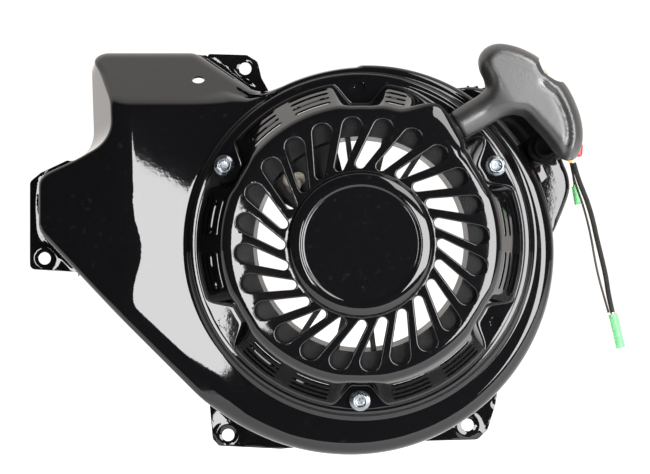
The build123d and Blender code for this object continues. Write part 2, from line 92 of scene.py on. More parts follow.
class Shader:
    """A principled material with a few procedural layers."""

    def __init__(self, name, color, roughness, metallic=0.0, **sockets):
        self.material = bpy.data.materials.new(name)
        self.material.use_nodes = True
        self.tree = self.material.node_tree
        self.shader = self.tree.nodes["Principled BSDF"]
        self.coordinates = self.tree.nodes.new("ShaderNodeTexCoord").outputs["Object"]
        self.set("Base Color", (*color, 1))
        self.set("Roughness", roughness)
        self.set("Metallic", metallic)
        for socket, value in sockets.items():
            self.set(socket.replace("_", " "), value)

    def set(self, socket, value):
        self.shader.inputs[socket].default_value = value

    def node(self, kind, **inputs):
        return new_node(self.tree, kind, **inputs)

    def noise(self, scale, detail=4.0, roughness=0.55, stretch=None):
        vector = self.coordinates
        if stretch:
            vector = self.node("ShaderNodeMapping", Vector=vector, Scale=stretch).outputs["Vector"]
        return self.node(
            "ShaderNodeTexNoise", Vector=vector, Scale=scale, Detail=detail, Roughness=roughness
        ).outputs["Fac"]

    def spread(self, value, low, high, start=0.35, end=0.65):
        """value from start to end becomes low to high."""
        limits = {"From_Min": start, "From_Max": end, "To_Min": low, "To_Max": high}
        return self.node("ShaderNodeMapRange", Value=value, **limits).outputs["Result"]

    def mix_color(self, factor, first, second):
        made = self.tree.nodes.new("ShaderNodeMix")
        made.data_type = "RGBA"
        self.tree.links.new(factor, made.inputs["Factor"])
        for index, value in ((6, first), (7, second)):
            if hasattr(value, "is_linked"):
                self.tree.links.new(value, made.inputs[index])
            else:
                made.inputs[index].default_value = (*value, 1)
        return made.outputs[2]

    def link(self, output, socket):
        self.tree.links.new(output, self.shader.inputs[socket])

    def bump(self, height, strength, distance, under=None):
        made = self.node("ShaderNodeBump", Height=height, Strength=strength, Distance=distance)
        if under:
            self.tree.links.new(under, made.inputs["Normal"])
        return made.outputs["Normal"]


ENAMEL, DUST = (0.0035, 0.0035, 0.004), (0.012, 0.0115, 0.011)


def gloss_paint(name, roughness, wave):
    """Stoved black enamel: wet gloss, a trace of orange peel, faint dust and rub marks."""
    paint = Shader(name, ENAMEL, roughness, Specular_IOR_Level=0.5)
    dust = paint.spread(paint.noise(260.0, 6.0), 0.0, 1.0, 0.62, 0.75)
    paint.link(paint.mix_color(dust, ENAMEL, DUST), "Base Color")
    rubbed = paint.noise(22.0, 5.0, 0.6)
    paint.link(paint.spread(rubbed, roughness * 0.7, roughness * 1.9, 0.35, 0.75), "Roughness")
    peel = paint.bump(paint.noise(420.0, 2.0), 0.015, 0.0004)
    paint.link(paint.bump(paint.noise(14.0, 1.0), wave, 0.004, under=peel), "Normal")
    return paint.material


def moulded_plastic(name, color, roughness, grain=900.0, strength=0.25, gleam=0.5):
    """Moulded plastic with a fine spark-eroded grain and handling marks."""
    plastic = Shader(name, color, roughness, Specular_IOR_Level=gleam)
    worn = plastic.spread(plastic.noise(38.0, 6.0, 0.65), 0.0, 1.0, 0.4, 0.75)
    lighter = tuple(min(1.0, 1.6 * channel + 0.004) for channel in color)
    plastic.link(plastic.mix_color(worn, color, lighter), "Base Color")
    plastic.link(plastic.spread(plastic.noise(55.0, 5.0), roughness * 0.82, roughness * 1.2), "Roughness")
    plastic.link(plastic.bump(plastic.noise(grain, 3.0), strength, 0.00025), "Normal")
    return plastic.material


def metal(name, color, roughness, stretch=(1, 1, 1), tint=None):
    """Bare or plated metal with fine directional marks and uneven plating."""
    made = Shader(name, color, roughness, metallic=1.0)
    tint = tint or tuple(channel * 0.72 for channel in color)
    cloud = made.spread(made.noise(180.0, 5.0, 0.6), 0.0, 1.0, 0.35, 0.75)
    made.link(made.mix_color(cloud, color, tint), "Base Color")
    marks = made.noise(900.0, 4.0, stretch=stretch)
    made.link(made.spread(marks, roughness * 0.7, roughness * 1.5), "Roughness")
    made.link(made.bump(marks, 0.12, 0.0001), "Normal")
    return made.material


def braid(name, color, lighter, pitch):
    """Woven or braided yarn: two families of crossing diagonal strands."""
    made = Shader(name, color, 0.7, Sheen_Weight=0.05, Specular_IOR_Level=0.25)
    waves = []
    for slant in (0.75, -0.75):
        turned = made.node("ShaderNodeMapping", Vector=made.coordinates)
        turned.inputs["Rotation"].default_value = (0, slant, 0)
        wave = made.node("ShaderNodeTexWave", Vector=turned.outputs["Vector"], Scale=pitch, Distortion=1.5)
        waves.append(wave.outputs["Fac"])
    crossed = made.node("ShaderNodeMath", Value=waves[0])
    crossed.operation = "MAXIMUM"
    made.tree.links.new(waves[1], crossed.inputs[1])
    made.link(made.mix_color(crossed.outputs[0], color, lighter), "Base Color")
    made.link(made.spread(made.noise(300.0), 0.55, 0.85), "Roughness")
    made.link(made.bump(crossed.outputs[0], 0.6, 0.0003), "Normal")
    return made.material


def translucent_vinyl():
    made = Shader("green_vinyl", (0.2, 0.8, 0.3), 0.22, Transmission_Weight=0.6, IOR=1.35)
    made.link(made.mix_color(made.noise(240.0, 4.0), (0.16, 0.74, 0.25), (0.5, 0.95, 0.58)), "Base Color")
    made.link(made.spread(made.noise(160.0), 0.15, 0.34), "Roughness")
    made.link(made.bump(made.noise(420.0, 3.0), 0.2, 0.0002), "Normal")
    return made.material


PAINT = gloss_paint("housing_enamel", 0.028, 0.03)
CASE_PAINT = gloss_paint("case_enamel", 0.04, 0.02)
HANDLE_PLASTIC = moulded_plastic("handle_plastic", (0.012, 0.012, 0.012), 0.37, 1100.0, 0.2, gleam=1.0)
REEL_PLASTIC = moulded_plastic("reel_plastic", (0.004, 0.004, 0.0045), 0.3, gleam=0.16)
SWITCH_PLASTIC = moulded_plastic("switch_plastic", (0.002, 0.002, 0.002), 0.45, gleam=0.04)
RED_PLASTIC = moulded_plastic("red_plastic", (0.5, 0.006, 0.012), 0.28, 700.0, 0.12)
WIRE_BLACK = moulded_plastic("wire_black", (0.012, 0.012, 0.012), 0.38, 600.0, 0.1)
WIRE_YELLOW = moulded_plastic("wire_yellow", (0.72, 0.38, 0.01), 0.35, 600.0, 0.1)
ZINC = metal("zinc_plate", (0.27, 0.29, 0.31), 0.26, tint=(0.15, 0.17, 0.19))
PLATED = metal("plated_steel", (0.55, 0.54, 0.5), 0.3)
SPRING_STEEL = metal("spring_steel", (0.16, 0.18, 0.22), 0.28, (1, 12, 1))
BLACK_STEEL = metal("blackened_steel", (0.05, 0.05, 0.052), 0.45)
TIN = metal("tinned_brass", (0.7, 0.6, 0.38), 0.25)
ROPE = braid("rope_nylon", (0.16, 0.14, 0.11), (0.46, 0.42, 0.35), 260.0)
SLEEVE = braid("sleeve_braid", (0.004, 0.004, 0.004), (0.016, 0.016, 0.0155), 420.0)
VINYL = translucent_vinyl()

FINISHES = {
    "black_gloss_paint": PAINT,
    "black_gloss_paint_case": CASE_PAINT,
    "black_steel": BLACK_STEEL,
    "zinc_plate": ZINC,
    "guide_plastic": REEL_PLASTIC,
    "plated_steel": PLATED,
    "spring_steel": SPRING_STEEL,
    "rope": ROPE,
    "switch_plastic": SWITCH_PLASTIC,
    "yellow_insulation": WIRE_YELLOW,
    "braided_sleeve": SLEEVE,
    "black_insulation": WIRE_BLACK,
    "tinned_brass": TIN,
    "green_vinyl": VINYL,
    "handle_plastic": HANDLE_PLASTIC,
    "reel_plastic": REEL_PLASTIC,
    "red_plastic": RED_PLASTIC,
}


def dress(obj, material):
    obj.data.materials.clear()
    obj.data.materials.append(material)


for part in frame["record"]["subparts"]:
    dress(nodes[part["node"]], FINISHES[part["material_slot"]])

# ------- mesh helpers
def place(x, z, height):
    return (x * MM, -height * MM, z * MM)


def smooth_step(value, low, high):
    t = np.clip((value - low) / (high - low), 0, 1)
    return t * t * (3 - 2 * t)


def smooth_min(a, b, blend):
    """The lower of two heights, with the ridge between them rounded over."""
    near = np.maximum(blend - np.abs(a - b), 0) / blend
    return np.minimum(a, b) - near * near * blend / 4


def blurred(values, passes):
    for _ in range(passes):
        values = (np.roll(values, 1, 0) + 2 * values + np.roll(values, -1, 0)) / 4
    return values


def arc(centre, radius, start, stop, count=60):
    angles = np.radians(np.linspace(start, stop, count))
    return [(centre[0] + radius * cos(a), centre[1] + radius * sin(a), 0) for a in angles]


def rounded(corners):
    """Points along an outline whose corners are (x, z, radius)."""
    result = []
    for k, (x, z, radius) in enumerate(corners):
        here = np.array((x, z), float)
        if not radius:
            result.append(here)
            continue
        before = np.array(corners[k - 1][:2]) - here
        after = np.array(corners[(k + 1) % len(corners)][:2]) - here
        before /= np.linalg.norm(before)
        after /= np.linalg.norm(after)
        half = np.arccos(before @ after) / 2
        middle = before + after
        centre = here + middle / np.linalg.norm(middle) * radius / sin(half)
        first = here + before * radius / np.tan(half) - centre
        last = here + after * radius / np.tan(half) - centre
        start = atan2(first[1], first[0])
        turn = (atan2(last[1], last[0]) - start + pi) % (2 * pi) - pi
        for t in np.linspace(0, 1, 14):
            angle = start + turn * t
            result.append(centre + radius * np.array((cos(angle), sin(angle))))
    return np.array(result)


def resampled(points, step):
    closed = np.vstack([points, points[:1]])
    lengths = np.r_[0, np.cumsum(np.hypot(*np.diff(closed, axis=0).T))]
    places = np.linspace(0, lengths[-1], int(lengths[-1] / step), endpoint=False)
    return np.column_stack([np.interp(places, lengths, closed[:, i]) for i in (0, 1)])


def inward(points):
    """Unit normals to the left of a closed outline that runs counterclockwise."""
    along = np.roll(points, -1, 0) - np.roll(points, 1, 0)
    across = np.column_stack([-along[:, 1], along[:, 0]])
    return across / np.linalg.norm(across, axis=1)[:, None]


def grid_faces(rows, columns):
    """Quads between closed rows; they face the front where the rows run inward."""
    faces = []
    for j in range(rows - 1):
        low, high = j * columns, (j + 1) * columns
        for k in range(columns):
            after = (k + 1) % columns
            faces.append((low + k, low + after, high + after, high + k))
    return faces


class Sheet:
    """Vertices and faces of one piece, gathered in millimetres as (x, z, height)."""

    def __init__(self):
        self.points, self.faces = [], []

    def add(self, points, faces):
        offset = len(self.points)
        self.points.extend(points)
        self.faces.extend(tuple(i + offset for i in face) for face in faces)

    def rows(self, rows):
        self.add([tuple(p) for row in rows for p in row], grid_faces(len(rows), len(rows[0])))

    def flat(self, loops, height, seeds=()):
        """Fills the first loop less the others with triangles, all facing the front."""
        corners = [Vector(p) for p in seeds if not any(near_loop(p, loop) for loop in loops)]
        edges = []
        for loop in loops:
            first = len(corners)
            corners.extend(Vector(p) for p in loop)
            edges.extend((first + i, first + (i + 1) % len(loop)) for i in range(len(loop)))
        points, _, faces, *_ = delaunay_2d_cdt(corners, edges, [], 0, 1e-5)
        kept = []
        for face in faces:
            middle = sum((points[i] for i in face), Vector((0, 0))) / len(face)
            if inside(middle, loops[0]) and not any(inside(middle, hole) for hole in loops[1:]):
                a, b, c = (points[i] for i in face[:3])
                turn = (b - a).cross(c - b)
                kept.append(tuple(face) if turn > 0 else tuple(reversed(face)))
        if callable(height):
            levels = height(np.array([p.x for p in points]), np.array([p.y for p in points]))
        else:
            levels = np.full(len(points), height)
        self.add([(p.x, p.y, float(level)) for p, level in zip(points, levels)], kept)

    def build(self, name, material, body, merge=1e-3):
        mesh = bpy.data.meshes.new(name)
        mesh.from_pydata([place(*p) for p in self.points], [], self.faces)
        bm = bmesh.new()
        bm.from_mesh(mesh)
        bmesh.ops.remove_doubles(bm, verts=bm.verts, dist=merge * MM)
        bmesh.ops.dissolve_degenerate(bm, dist=merge * MM, edges=bm.edges)
        loose = [v for v in bm.verts if not v.link_faces]
        bmesh.ops.delete(bm, geom=loose, context="VERTS")
        for face in bm.faces:
            face.smooth = True
        bm.to_mesh(mesh)
        bm.free()
        obj = linked(name, mesh, material)
        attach(obj, body)
        return obj


def near_loop(point, loop, gap=0.35):
    return bool(np.min(np.hypot(*(np.asarray(loop) - np.asarray(point)).T)) < gap)


def inside(point, loop):
    return within(point, zip(loop, np.roll(loop, -1, 0)))


def within(point, segments):
    """Whether a point lies inside the outline that the segments make up."""
    hit = False
    for (x1, z1), (x2, z2) in segments:
        spans = (z1 > point[1]) != (z2 > point[1])
        if spans and point[0] < (x2 - x1) * (point[1] - z1) / (z2 - z1) + x1:
            hit = not hit
    return hit


def linked(name, data, material):
    """A new object in the scene, with its material."""
    obj = bpy.data.objects.new(name, data)
    scene.collection.objects.link(obj)
    dress(obj, material)
    return obj


def thicken(obj, thickness):
    modifier = obj.modifiers.new("sheet", "SOLIDIFY")
    modifier.thickness = thickness * MM
    modifier.offset = -1
    modifier.use_quality_normals = True


def soften(obj, width, segments=2, angle=35):
    """Rounds the sharp edges of a piece, so that they catch the light."""
    modifier = obj.modifiers.new("edges", "BEVEL")
    modifier.width = width * MM
    modifier.segments = segments
    modifier.limit_method = "ANGLE"
    modifier.angle_limit = radians(angle)
    modifier.harden_normals = False
    weighted = obj.modifiers.new("normals", "WEIGHTED_NORMAL")
    weighted.keep_sharp = True


# ------- blower housing
SHEET_T = 1.2
FRONT, COLLAR_TOP = 58.0, 64.0
COLLAR_R = 105.4
LEFT_CREASE, TOP_CREASE = -147.0, 86.0
LEFT_FALL, TOP_FALL = 26 / 60, 49 / 38.5
# how far the left crease wanders from its line, as (z, drift)
CREASE_DRIFT = (
    (-60, 3.4), (-45, 3.4), (-34, 0.8), (-22, 2.2), (-10, 6.4), (4, 6.4), (12, 2.6), (24, 0.8), (60, 0.8),
)
CREASE_BLUR = (-5, -2.5, 0, 2.5, 5)
# the slanting lower left edge: a point on it, its inward normal, and the fall of the band beside it
LOW_POINT, LOW_NORMAL = (-125.7, -58.2), (0.644, 0.764)
LOW_BAND, LOW_FALL = 3.5, 0.15
TOP_CIRCLE, TOP_RADIUS = (5.0, -5.0), 115.5
TOP_END = 115  # degrees, where the drum's outline leaves its circle
NECK, NECK_RUN, NECK_WAY = np.array((-59.6, 90.8)), 14, np.array((-0.82, 0.574))
DUCT_CORNERS = [(-104.8, 122.5, 12), (-172.5, 122.5, 12), (-170.5, 60.5, 20), (-202, 42.4, 8), (-202, 8, 12)]
WAIST_X, WAIST_Z = -150, 46  # the waisted wall is left of one and above the other
LEAN, LEAN_HEIGHT = np.array((19.0, 5.0)), 60  # how far the waisted wall has moved at that height
WALL_HEIGHT = 50  # the wall's rows are given for a wall this high, and scaled
EAR_HEIGHT, EAR_STEP, EAR_ROUND = 46.0, 1.2, 4.5
EAR = [
    (112, -6, 0), (132, 34, 9), (130.4, 44, 6), (126, 53, 6), (126, 67, 9), (100, 88, 9), (70, 99, 9),
    (48, 92, 0),
]
COLLAR_PROFILE = (
    (105.1, 61.6), (104.8, 62.7), (104.3, 63.4), (103.7, 63.8),
    (102.9, COLLAR_TOP), (100, COLLAR_TOP), (95, COLLAR_TOP), (90, COLLAR_TOP),
)
TAB_HOLE_R, TAB_FLARE = 4, 3.0
# each tab: where it leaves the wall, its outer corners and its hole
TABS = (
    (
        ((-186, 51), (-176.5, -17.5)),
        ((-205, 45.8, 3), (-212, 40, 4), (-212, -16.5, 3.5), (-178, -18.5, 2)),
        (-202.5, -9.5),
    ),
    (
        ((-57, 92.5), (-100, 120)),
        ((-62.5, 107, 5), (-65, 117.5, 4), (-72, 121.8, 3), (-99, 122.6, 2)),
        (-73, 113),
    ),
    (((-94, -98), (-34, -128)), ((-94, -126, 3), (-90, -130.5, 3), (-50, -132.5, 8)), (-84, -123.5)),
    (((33, -125), (88, -89)), ((77, -126.5, 5), (83.5, -120, 3), (88.5, -104, 4)), (70.5, -117)),
)
TIE_HOLE, TIE_HOLE_R, TIE_HOLE_SQUASH = (-101.0, 103.0), 3.9, 0.62


def front_height(x, z):
    """Height of the housing's front, before its edge is rounded."""
    drift = np.mean([np.interp(z + shift, *zip(*CREASE_DRIFT)) for shift in CREASE_BLUR], axis=0)
    left = FRONT + (x - LEFT_CREASE - drift * smooth_step(x, -178, -152)) * LEFT_FALL
    # the front falls away a little before the slanting lower left edge
    inset = (x - LOW_POINT[0]) * LOW_NORMAL[0] + (z - LOW_POINT[1]) * LOW_NORMAL[1]
    low = FRONT + (inset - LOW_BAND) * LOW_FALL
    top = FRONT - (z - TOP_CREASE) * TOP_FALL
    drum = smooth_step(TOP_RADIUS - np.hypot(x - TOP_CIRCLE[0], z - TOP_CIRCLE[1]), -5, 5)
    top = np.where(x < 0, top * (1 - drum) + (FRONT + 12) * drum, FRONT + 12)
    level = smooth_min(np.full_like(x, FRONT), low, 0.7)
    return smooth_min(smooth_min(level, left, 2.5), top, 4.0)


def housing_outline():
    drum = arc(TOP_CIRCLE, TOP_RADIUS, 0, TOP_END)
    start, end = np.array(drum[-1][:2]), NECK + NECK_RUN * NECK_WAY
    bend = []
    for t in np.linspace(0.1, 1, 10):
        bend.append(tuple((1 - t) ** 2 * start + 2 * t * (1 - t) * NECK + t * t * end) + (0,))
    corners = drum + bend + DUCT_CORNERS
    corners += arc((-5.5, 8), 139, 225, 270) + arc((-5.5, -5), 126, 271, 359)
    return resampled(rounded(corners), 2.0)


def blower_housing():
    plan = housing_outline()
    side = inward(plan)
    x, z = plan.T
    radius = np.hypot(x, z)
    angle = np.degrees(np.arctan2(z, x)) % 360
    # the waisted wall leans to the right as it rises
    lean = smooth_step(x, -202, -192) * smooth_step(-z, -122.5, -108) * (z > 30) * (x < WAIST_X)
    lean = blurred(lean, 6)[:, None] * LEAN / LEAN_HEIGHT

    def top_of(points, level):
        """Height of the front where the leaning wall brings these points."""
        for _ in range(4):
            level = front_height(*(points + lean * level[:, None]).T)
        return level

    edge = top_of(plan, front_height(x, z))
    room = radius - COLLAR_R
    lobe = (z < WAIST_Z) & (angle > 122) & (angle < 228)
    duct = (z > WAIST_Z) & (angle > 118)
    waist = (z > WAIST_Z) & (x < WAIST_X)
    rounding = np.where(lobe, 3.2, np.where(duct, 4.2, 8.5))
    rounding = np.where(waist, 2.2 + 2.0 * smooth_step(z, 84, 100), rounding)
    rounding = blurred(np.minimum(rounding, np.clip(0.62 * room, 1.6, 99)), 8)
    rounding = np.minimum(rounding, 0.55 * edge)
    foot = blurred(np.clip(0.3 * room, 0.8, 3.6), 4)
    wall = edge - rounding

    ear = rounded(EAR)
    ear_angle = np.degrees(np.arctan2(ear[:, 1], ear[:, 0]))
    ear_radius = np.interp(angle, ear_angle, np.hypot(*ear.T), left=0, right=0)
    bulge = blurred(np.maximum(ear_radius - radius, 0), 3)
    has_ear = smooth_step(bulge, 0.05, 2.5)
    out = plan / radius[:, None]
    ear_round = np.minimum(EAR_ROUND, 0.75 * bulge)

    tabs = [tab_span(plan, *ends) for ends, _, _ in TABS]
    has_tab = np.zeros(len(plan))
    for first, last in tabs:
        has_tab[first : last + 1] = 1
    flare = has_tab * TAB_FLARE
    for _ in range(4):
        flare = np.where(has_tab > 0, flare, 0.5 * np.maximum(np.roll(flare, 1), np.roll(flare, -1)))

    rows = []

    def row(points, heights):
        rows.append(np.column_stack([points, np.broadcast_to(heights, len(points))]))

    scale = wall / WALL_HEIGHT
    # the foot, flared where a tab leaves it
    for a in np.radians((0, 20, 40, 60, 78)):
        flat = flare / TAB_FLARE
        height = SHEET_T * flat + flare * (1 - cos(a)) + (1 - flat) * np.degrees(a) / 78 * 3 * scale
        spread = (bulge + flare * (1 - sin(a)))[:, None]
        row(plan + out * bulge[:, None] - side * (spread - bulge[:, None]) + lean * height[:, None], height)
    # the wall up to the ear's face, which is only more wall where there is no ear
    for level in np.linspace(4.2, 40, 8):
        height = level * scale
        row(plan + out * bulge[:, None] + lean * height[:, None], height)
    for k, a in enumerate(np.radians(np.linspace(0, 90, 8))):
        height = has_ear * (EAR_HEIGHT - ear_round + ear_round * sin(a))
        height += (1 - has_ear) * (41 + 0.7 * k) * scale
        row(plan + out * (bulge - ear_round * (1 - cos(a)))[:, None] + lean * height[:, None], height)
    for k, t in enumerate((0.3, 0.6, 0.9, 1.0)):
        height = has_ear * (EAR_HEIGHT + EAR_STEP * (t == 1.0))
        height += (1 - has_ear) * (46.2 + 0.25 * k) * scale
        row(plan + out * ((bulge - ear_round) * (1 - t))[:, None] + lean * height[:, None], height)
    ear_top = EAR_HEIGHT + EAR_STEP
    height = 0.5 * (np.maximum(ear_top * scale, has_ear * ear_top) + wall)
    row(plan + lean * height[:, None], height)
    # rounded over the front edge
    for a in np.radians(np.linspace(0, 90, 12)):
        points = plan + side * (rounding * (1 - cos(a)))[:, None]
        height = top_of(points, edge) - rounding * (1 - sin(a))
        row(points + lean * height[:, None], height)
    # the front, towards the collar
    inner = rows[-1][:, :2]
    reach = np.hypot(*inner.T)
    bearing = np.unwrap(np.arctan2(inner[:, 1], inner[:, 0]))
    steps = blurred(np.maximum(np.diff(np.r_[bearing, bearing[0] + 2 * pi]), 0.004), 30)
    even = bearing[0] + np.r_[0, np.cumsum(steps * 2 * pi / steps.sum())[:-1]]
    even += np.mean(bearing - even)
    toward = np.column_stack([np.cos(even), np.sin(even)])
    start = np.minimum(COLLAR_R + foot, reach - 0.25)
    foot = start - COLLAR_R
    for t in np.linspace(0, 1, 40)[1:]:
        share = smooth_step(t, 0, 0.35)
        turned = bearing * (1 - share) + even * share
        points = np.column_stack([np.cos(turned), np.sin(turned)]) * (reach + (start - reach) * t)[:, None]
        level = smooth_step(t, 0.6, 1)
        row(points, front_height(*points.T) * (1 - level) + FRONT * level)
    for a in np.radians((15, 30, 45, 60, 75)):
        row(toward * (COLLAR_R + foot * (1 - sin(a)))[:, None], FRONT + foot * (1 - cos(a)))
    for r, height in COLLAR_PROFILE:
        row(toward * r, height)

    sheet = Sheet()
    sheet.rows(rows)
    for (first, last), (_, corners, hole) in zip(tabs, TABS):
        inner_edge = rows[0][first : last + 1, :2]
        path = rounded([(*inner_edge[0], 0), *corners, (*inner_edge[-1], 0)])
        loop = np.vstack([path, inner_edge[-2:0:-1]])
        turns = np.linspace(0, 2 * pi, 32, endpoint=False)
        ring = [(hole[0] + TAB_HOLE_R * cos(a), hole[1] + TAB_HOLE_R * sin(a)) for a in turns]
        (left, low), (right, high) = loop.min(0), loop.max(0)
        seeds = [(u, v) for u in np.arange(left, right, 1.2) for v in np.arange(low, high, 1.2)]

        def relief(x, z, loop=loop, hole=hole):
            """A pressed seat round the hole, and the sheet slightly drawn elsewhere."""
            points = np.column_stack([x, z])
            edge = np.min([np.hypot(*(points - p).T) for p in loop], axis=0)
            from_hole = np.hypot(x - hole[0], z - hole[1]) - TAB_HOLE_R
            seat = 0.3 * np.exp(-(((from_hole - 3.2) / 1.8) ** 2))
            drawn = 0.16 + 0.16 * np.sin(0.17 * x + 0.1 * z) * np.cos(0.14 * z - 0.09 * x)
            return SHEET_T + (seat + drawn) * smooth_step(edge, 0.4, 3) * smooth_step(from_hole, 0.2, 1.5)

        sheet.flat([loop, ring], relief, seeds)
    obj = sheet.build("housing_shell", PAINT, "housing")
    pierce(obj, TIE_HOLE, TIE_HOLE_R, front_height, 3.5, TIE_HOLE_SQUASH)
    thicken(obj, SHEET_T)
    soften(obj, 0.3, 2, 40)
    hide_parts("blower_housing")


def tab_span(plan, first, last):
    return tuple(int(np.argmin(np.hypot(*(plan - np.array(end)).T))) for end in (first, last))


HOLE_SIDES, HOLE_REACH, HOLE_RING = 40, 0.016, 1.2


def pierce(obj, centre, radius, height, margin, squash=1.0):
    """A hole in a sheet, seen from the front; height gives the sheet's height there."""
    bm = bmesh.new()
    bm.from_mesh(obj.data)

    def level(x, z):
        return float(np.ravel(height(np.array([x]), np.array([z])))[0])

    middle, depth = Vector(place(*centre, 0)), level(*centre) * MM

    def here(face):
        point = face.calc_center_median()
        away = hypot(point.x - middle.x, point.z - middle.z)
        return away < (radius + margin) * MM and abs(-point.y - depth) < HOLE_REACH

    near = {f for f in bm.faces if here(f)}
    rim = [e for e in {e for f in near for e in f.edges} if any(f not in near for f in e.link_faces)]
    bmesh.ops.delete(bm, geom=list(near), context="FACES_ONLY")
    loose = [e for e in bm.edges if not e.link_faces]
    verts = list({v for e in rim for v in e.verts})
    edges = [tuple(verts.index(v) for v in e.verts) for e in rim]
    segments = [tuple((v.co.x / MM, v.co.z / MM) for v in e.verts) for e in rim]
    bmesh.ops.delete(bm, geom=loose, context="EDGES")
    # a ring round the hole where there is room, and the hole itself
    for extra in (HOLE_RING, 0.0) if margin > 2 else (0.0,):
        edges += [(len(verts) + k, len(verts) + (k + 1) % HOLE_SIDES) for k in range(HOLE_SIDES)]
        for a in np.linspace(0, 2 * pi, HOLE_SIDES, endpoint=False):
            x = centre[0] + (radius + extra) * cos(a)
            z = centre[1] + (radius * squash + extra) * sin(a)
            verts.append(bm.verts.new(place(x, z, level(x, z))))
    flat = [Vector((v.co.x / MM, v.co.z / MM)) for v in verts]
    points, _, faces, origin, *_ = delaunay_2d_cdt(flat, edges, [], 0, 1e-5)
    used = []
    for point, sources in zip(points, origin):
        if not sources:
            verts.append(bm.verts.new(place(point.x, point.y, level(point.x, point.y))))
            flat.append(Vector(point))
        used.append(sources[0] if sources else len(verts) - 1)
    for face in faces:
        corners = [used[i] for i in face]
        x, z = sum((flat[i] for i in corners), Vector((0, 0))) / len(corners)
        cut_out = hypot((x - centre[0]) / radius, (z - centre[1]) / (radius * squash)) < 0.99
        if cut_out or not within((x, z), segments):
            continue
        made = bm.faces.new([verts[i] for i in corners])
        made.smooth = True
        made.normal_update()
        if made.normal.y > 0:
            made.normal_flip()
    bm.to_mesh(obj.data)
    bm.free()


blower_housing()


# ------- starter case
FLANGE_TOP = 65.2
POCKETS = [30 + 60 * k for k in range(6)]
BOLT_CIRCLE = 96.0
BOLTED = (30, 150, 270)
PULL_ANGLE = radians(30.7)
EXIT = np.array((56.9, 70.5))
LOUVRE_EDGES = (97.35, 95.85, 94.35, 92.85, 91.15, 89.65, 87.75, 86.25)
FACE_R, CAP_R, PIN_HOLE_R = 77.0, 44.0, 3.3
CASE_FOOT, CASE_SKIRT, CASE_TOP = 98.6, 98.4, 84.2  # radii of the case's side
SIDE_LOW, SIDE_RISE = 67.4, 30
BOSS_WALL = 84.7  # from the axis to the flat wall that the rope comes out of
FLANGE_R = 100.9
SLOTS, SLOT_TURN, SLOT_RIM = 24, 15, 0.9
CAP_PROFILE = (
    (44, 102), (43.7, 102.15), (43.3, 102.6), (42.9, 103.4), (42.5, 104.4), (42, 105.05), (41.3, 105.55),
    (40.3, 105.95), (39, 106.33), (37.8, 106.58), (36.7, 106.74), (35.9, 106.78), (35.3, 106.68),
    (34.8, 106.4), (34.3, 106.1), (33.5, 106), (31, 106),
)


def polar(radius, angle):
    return (radius * cos(radians(angle)), radius * sin(radians(angle)))


def face_height(r):
    """The slotted face is slightly domed towards its edge."""
    return 102.0 - 0.0035 * np.maximum(r - 70, 0) ** 2


def hull(first, r1, second, r2):
    """The outline round two circles, counterclockwise."""
    (x1, z1), (x2, z2) = first, second
    along = atan2(z2 - z1, x2 - x1)
    half = np.arccos((r1 - r2) / hypot(x2 - x1, z2 - z1))
    tip = [(x2 + r2 * cos(along + a), z2 + r2 * sin(along + a)) for a in np.linspace(-half, half, 12)]
    back = np.linspace(half, 2 * pi - half, 22)
    head = [(x1 + r1 * cos(along + a), z1 + r1 * sin(along + a)) for a in back]
    sides = [np.linspace(a, b, 7)[1:-1] for a, b in ((tip[-1], head[0]), (head[-1], tip[0]))]
    return np.vstack([tip, sides[0], head, sides[1]])


